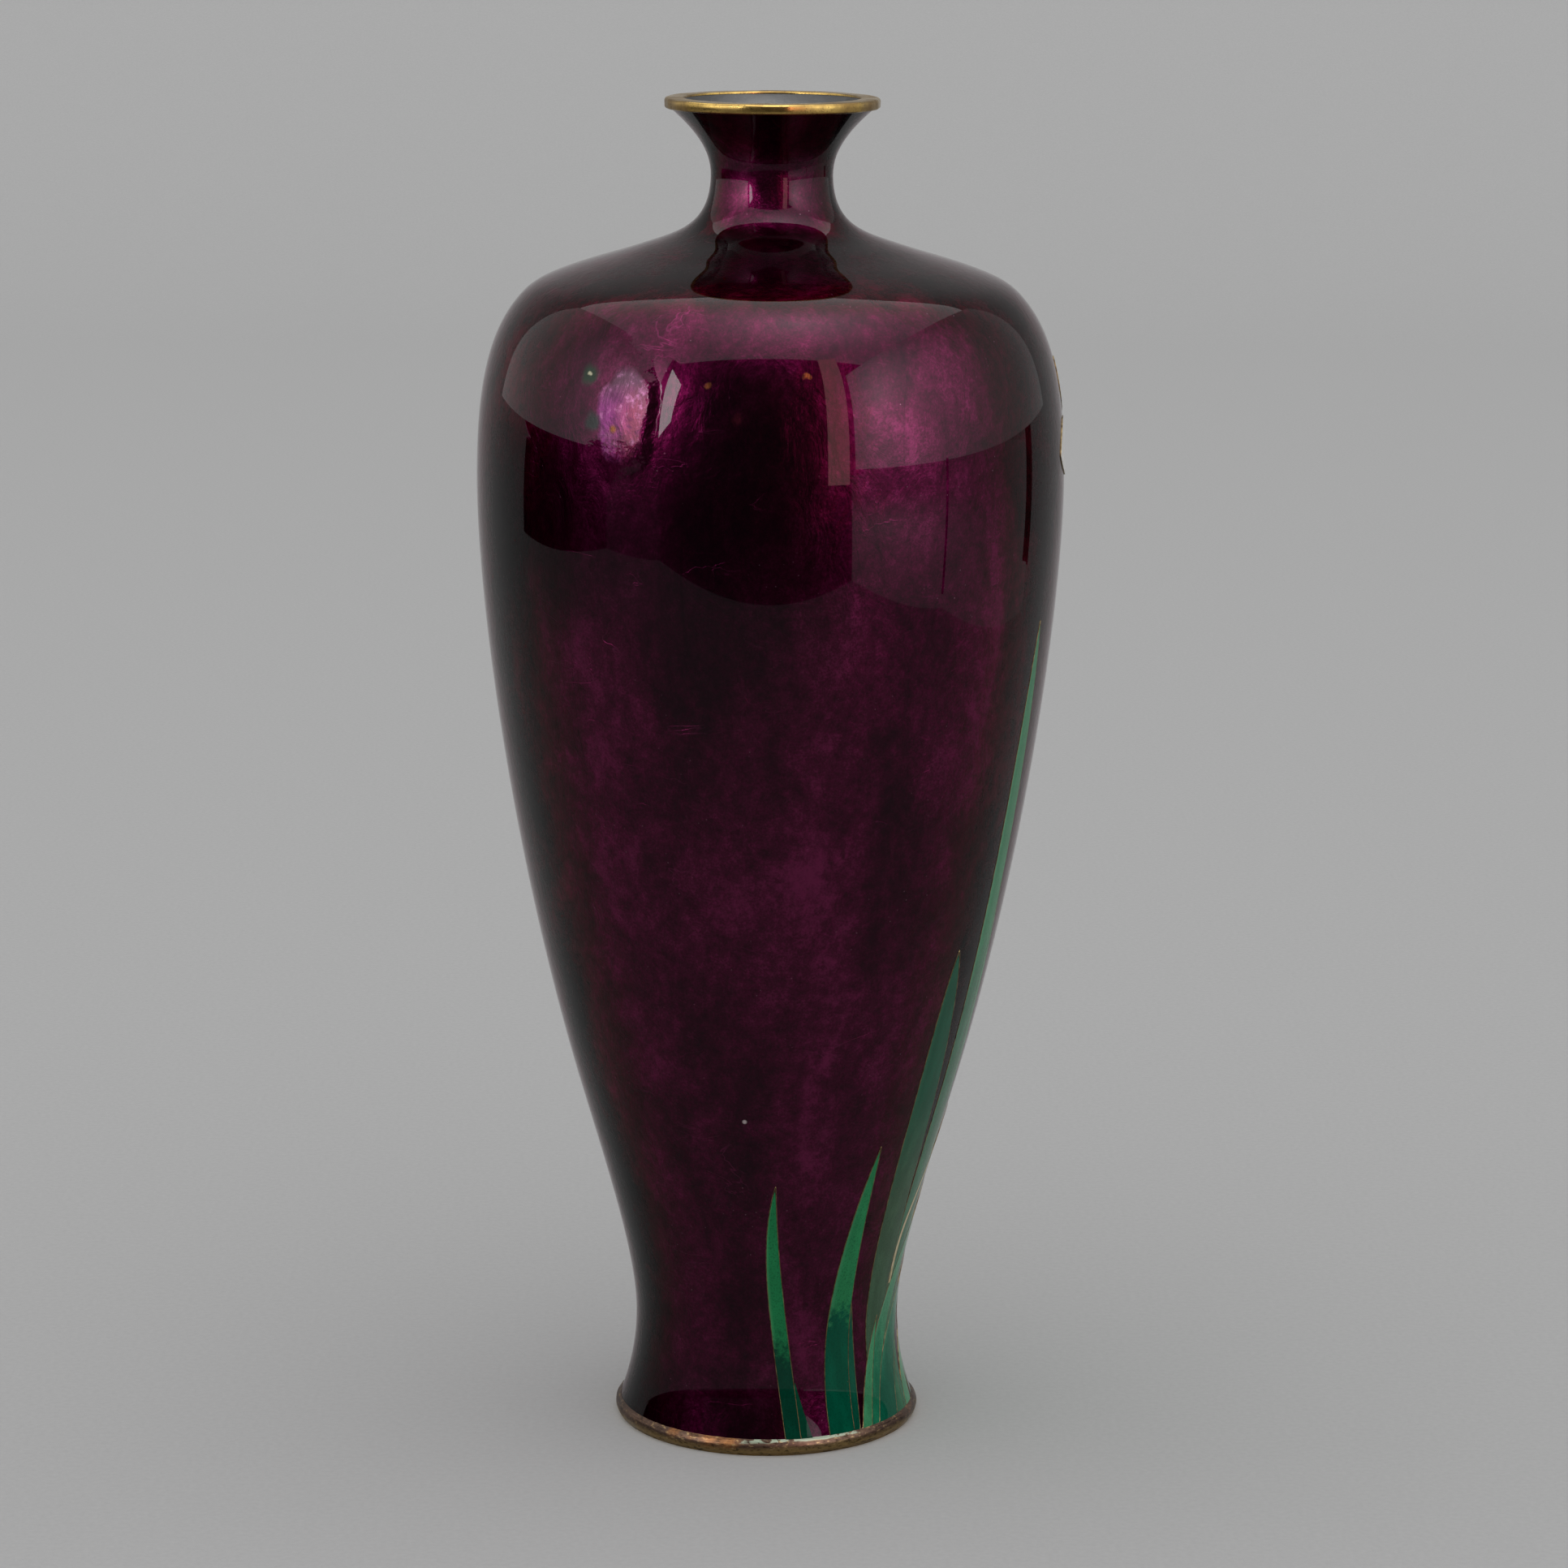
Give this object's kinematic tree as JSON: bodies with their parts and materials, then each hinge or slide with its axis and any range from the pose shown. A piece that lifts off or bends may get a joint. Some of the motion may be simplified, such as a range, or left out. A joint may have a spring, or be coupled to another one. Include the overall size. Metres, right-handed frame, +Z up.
{
  "type": "enamelled vase",
  "caption": "Narrow-necked ornamental vase with a full shoulder and small foot; wired enamel irises on a dark purple foil-backed ground, metal mouth and foot rings.",
  "frame": {"origin": "centre of the circle that the foot ring stands on", "axes": "+Z up along the vase's axis, -Y towards the front with the short iris blade, +X to the right of it"},
  "size_m": [0.1062, 0.1062, 0.245],
  "materials": {
    "copper": "bare spun copper under the enamel, hidden",
    "rim_brass": "old gold, worn and mottled, softly polished",
    "foot_copper": "patinated copper alloy, brown with orange and gold patches",
    "foil": "crinkled silver foil",
    "ground": "deep translucent purple enamel over foil, mirror gloss",
    "lining": "grey-blue counter-enamel, gloss with pits",
    "wire": "fine flat wire, ground flush",
    "green_enamel": "opaque green enamel, gloss",
    "light_green_enamel": "light green enamel, gloss",
    "dark_green_enamel": "dark teal green enamel, gloss",
    "grey_green_enamel": "greyed green enamel, gloss",
    "white_enamel": "white enamel, gloss",
    "cream_enamel": "cream enamel, gloss",
    "yellow_enamel": "yellow enamel, gloss"
  },
  "bodies": {
    "root": {"copper_lower": "copper", "copper_upper": "copper", "copper_neck": "copper", "copper_base": "copper", "mouth_rim": "rim_brass", "foot_rim": "foot_copper", "silver_foil": "foil", "ground_enamel": "ground", "lining_enamel": "lining", "underside_enamel": "lining", "short_blade_enamel": "green_enamel", "short_blade_wire": "wire", "short_fold_enamel": "dark_green_enamel", "middle_blade_enamel": "green_enamel", "middle_blade_wire": "wire", "middle_fold_enamel": "dark_green_enamel", "middle_fold_wire": "wire", "sliver_blade_enamel": "light_green_enamel", "sliver_blade_wire": "wire", "leaning_blade_enamel": "green_enamel", "leaning_blade_wire": "wire", "drooping_blade_enamel": "dark_green_enamel", "drooping_blade_wire": "wire", "low_blade_enamel": "light_green_enamel", "low_blade_wire": "wire", "sheath_enamel": "cream_enamel", "sheath_wire": "wire", "broad_blade_enamel": "grey_green_enamel", "broad_blade_wire": "wire", "tall_blade_enamel": "light_green_enamel", "tall_blade_wire": "wire", "back_blade_enamel": "light_green_enamel", "back_blade_wire": "wire", "side_blade_enamel": "green_enamel", "side_blade_wire": "wire", "rear_blade_enamel": "green_enamel", "rear_blade_wire": "wire", "far_blade_enamel": "light_green_enamel", "far_blade_wire": "wire", "bent_blade_enamel": "light_green_enamel", "bent_blade_wire": "wire", "end_blade_enamel": "green_enamel", "end_blade_wire": "wire", "high_stem_enamel": "green_enamel", "low_stem_enamel": "green_enamel", "bud_stem_enamel": "green_enamel", "stem_wires": "wire", "high_blossom_falls": "white_enamel", "high_blossom_standards": "white_enamel", "high_blossom_crests": "yellow_enamel", "high_blossom_wires": "wire", "low_blossom_falls": "white_enamel", "low_blossom_standards": "white_enamel", "low_blossom_crests": "yellow_enamel", "low_blossom_wires": "wire", "bud_enamel": "white_enamel", "bud_wire": "wire"}
  },
  "joints": []
}
